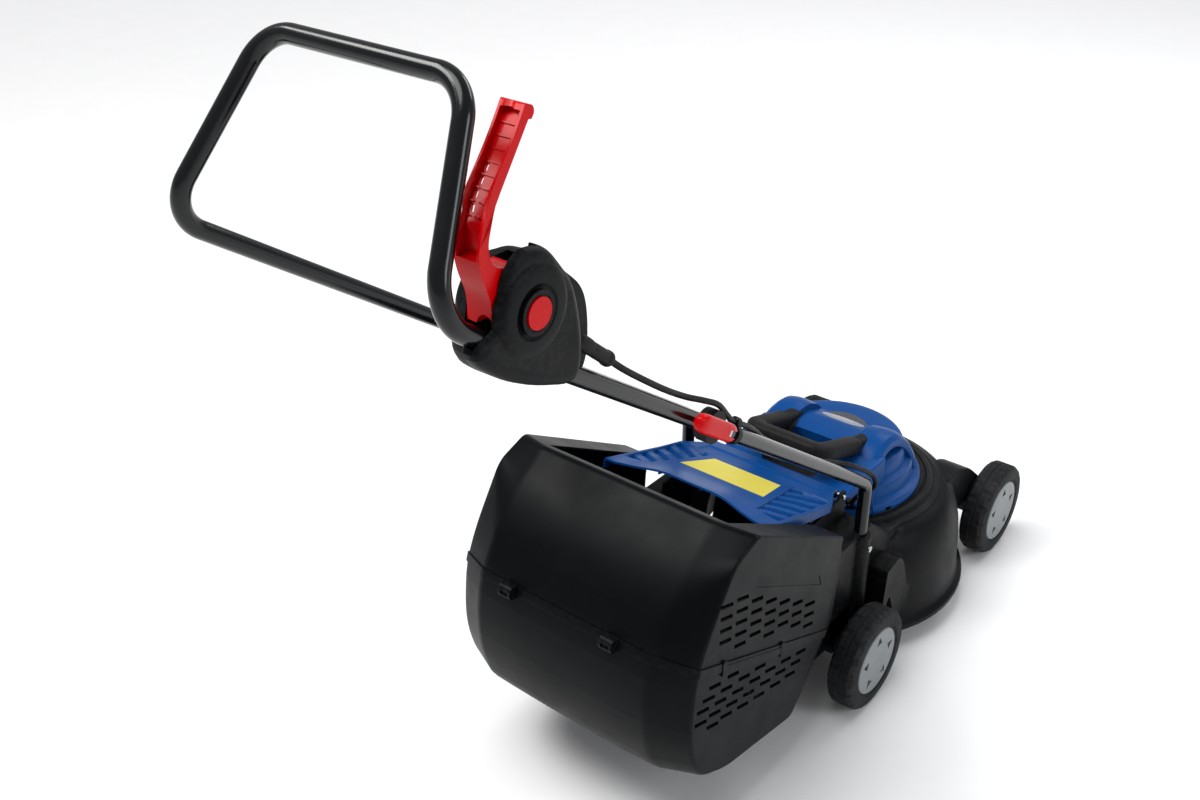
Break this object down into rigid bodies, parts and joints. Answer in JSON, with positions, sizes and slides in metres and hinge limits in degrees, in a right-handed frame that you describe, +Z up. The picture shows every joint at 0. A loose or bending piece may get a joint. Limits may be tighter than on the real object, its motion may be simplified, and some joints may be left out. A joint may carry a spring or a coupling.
{
  "type": "electric lawn mower",
  "caption": "Small walk-behind electric rotary mower with a rear grass box, sprung discharge flap, folding loop handle and a hand switch lever.",
  "frame": {"origin": "on the ground under the middle of the machine's bounding box", "axes": "+X to the machine's right, +Y forward in the direction of travel, +Z up"},
  "size_m": [0.398, 1.1805, 0.9649],
  "materials": {
    "black_plastic": "moulded black plastic with a fine grain",
    "box_plastic": "black moulded plastic, satin, fine grain",
    "blue_plastic": "satin royal blue plastic",
    "grey_plastic": "dark grey grained plastic",
    "red_plastic": "glossy red plastic",
    "tyre_plastic": "black tread, dull",
    "hub_grey": "light grey plastic, satin",
    "tube_paint": "gloss black paint on steel tube",
    "steel": "zinc plated",
    "motor_steel": "laminated and cast motor metal",
    "label_yellow": "plain yellow film",
    "silver_film": "plain silver film",
    "rubber": "black cable sheath"
  },
  "bodies": {
    "chassis": {"deck": "black_plastic", "rear_axle": "steel", "front_axle": "steel", "axle_caps": "steel", "motor_can": "motor_steel", "motor_screws": "steel", "motor_cover": "blue_plastic", "carry_handle": "grey_plastic", "cover_inlay": "silver_film", "cover_screws": "steel", "flap_hinge_pin": "steel", "flap_spring": "steel", "lower_tube_right": "tube_paint", "lower_tube_left": "tube_paint", "post_screws": "steel", "lower_knuckle_right": "black_plastic", "lower_knuckle_left": "black_plastic", "clamp_bolt_right": "steel", "clamp_bolt_left": "steel", "cam_pins": "steel", "cable_lower": "rubber", "cable_clip": "black_plastic", "cable_grommet": "rubber"},
    "cutter": {"armature": "motor_steel", "motor_shaft": "steel", "cooling_fan": "grey_plastic", "blade_holder": "grey_plastic", "cutting_blade": "steel", "blade_bolt": "steel"},
    "wheel_rear_right": {"rear_wheel_right": "tyre_plastic", "rear_hub_cap_right": "hub_grey"},
    "wheel_rear_left": {"rear_wheel_left": "tyre_plastic", "rear_hub_cap_left": "hub_grey"},
    "wheel_front_right": {"front_wheel_right": "tyre_plastic", "front_hub_cap_right": "hub_grey"},
    "wheel_front_left": {"front_wheel_left": "tyre_plastic", "front_hub_cap_left": "hub_grey"},
    "discharge_flap": {"rear_flap": "blue_plastic", "flap_label": "label_yellow"},
    "grass_box": {"box_upper_shell": "box_plastic", "box_lower_shell": "box_plastic", "box_clips": "box_plastic"},
    "handle_top": {"upper_handle": "tube_paint", "upper_knuckle_right": "black_plastic", "upper_knuckle_left": "black_plastic", "switch_box_outer": "black_plastic", "switch_box_inner": "black_plastic", "box_screws": "steel", "lever_pivot": "steel", "switch_block": "grey_plastic", "button_ring": "black_plastic", "mains_inlet": "black_plastic", "cable_boot": "rubber", "cable_fold": "rubber"},
    "bail_lever": {"switch_lever": "red_plastic"},
    "lock_button": {"safety_button": "red_plastic"},
    "clamp_right": {"cam_lever_right": "red_plastic"},
    "clamp_left": {"cam_lever_left": "red_plastic"}
  },
  "joints": [
    {"name": "blade_spin", "type": "hinge", "parent": "chassis", "child": "cutter", "pos_m": [0, 0.3102, 0.05], "axis": [0, 0, 1], "continuous": true},
    {"name": "wheel_rear_right_spin", "type": "hinge", "parent": "chassis", "child": "wheel_rear_right", "pos_m": [0.1805, 0.1002, 0.07], "axis": [1, 0, 0], "continuous": true},
    {"name": "wheel_rear_left_spin", "type": "hinge", "parent": "chassis", "child": "wheel_rear_left", "pos_m": [-0.1805, 0.1002, 0.07], "axis": [1, 0, 0], "continuous": true},
    {"name": "wheel_front_right_spin", "type": "hinge", "parent": "chassis", "child": "wheel_front_right", "pos_m": [0.1595, 0.5202, 0.07], "axis": [1, 0, 0], "continuous": true},
    {"name": "wheel_front_left_spin", "type": "hinge", "parent": "chassis", "child": "wheel_front_left", "pos_m": [-0.1595, 0.5202, 0.07], "axis": [1, 0, 0], "continuous": true},
    {"name": "flap_hinge", "type": "hinge", "parent": "chassis", "child": "discharge_flap", "pos_m": [0, 0.1442, 0.262], "axis": [-1, 0, 0], "range_deg": [0, 58], "stiffness_Nm_per_rad": 0.35, "deforming": ["flap_spring"]},
    {"name": "box_lift_off", "type": "slide", "parent": "chassis", "child": "grass_box", "axis": [0, -0.8689, 0.495], "range_m": [0, 0.25]},
    {"name": "handle_fold", "type": "hinge", "parent": "chassis", "child": "handle_top", "pos_m": [0, -0.23312, 0.5605], "axis": [-1, 0, 0], "range_deg": [0, 140], "deforming": ["cable_fold"]},
    {"name": "lever_squeeze", "type": "hinge", "parent": "handle_top", "child": "bail_lever", "pos_m": [0.1455, -0.5058, 0.794], "axis": [1, 0, 0], "range_deg": [0, 16], "stiffness_Nm_per_rad": 4},
    {"name": "button_press", "type": "slide", "parent": "handle_top", "child": "lock_button", "axis": [-1, 0, 0], "range_m": [0, 0.004], "stiffness_N_per_m": 900},
    {"name": "cam_right_release", "type": "hinge", "parent": "chassis", "child": "clamp_right", "pos_m": [0.16277, -0.23312, 0.5605], "axis": [0, 0.5762, 0.8173], "range_deg": [0, 110]},
    {"name": "cam_left_release", "type": "hinge", "parent": "chassis", "child": "clamp_left", "pos_m": [-0.16277, -0.23312, 0.5605], "axis": [0, -0.5762, -0.8173], "range_deg": [0, 110]}
  ]
}
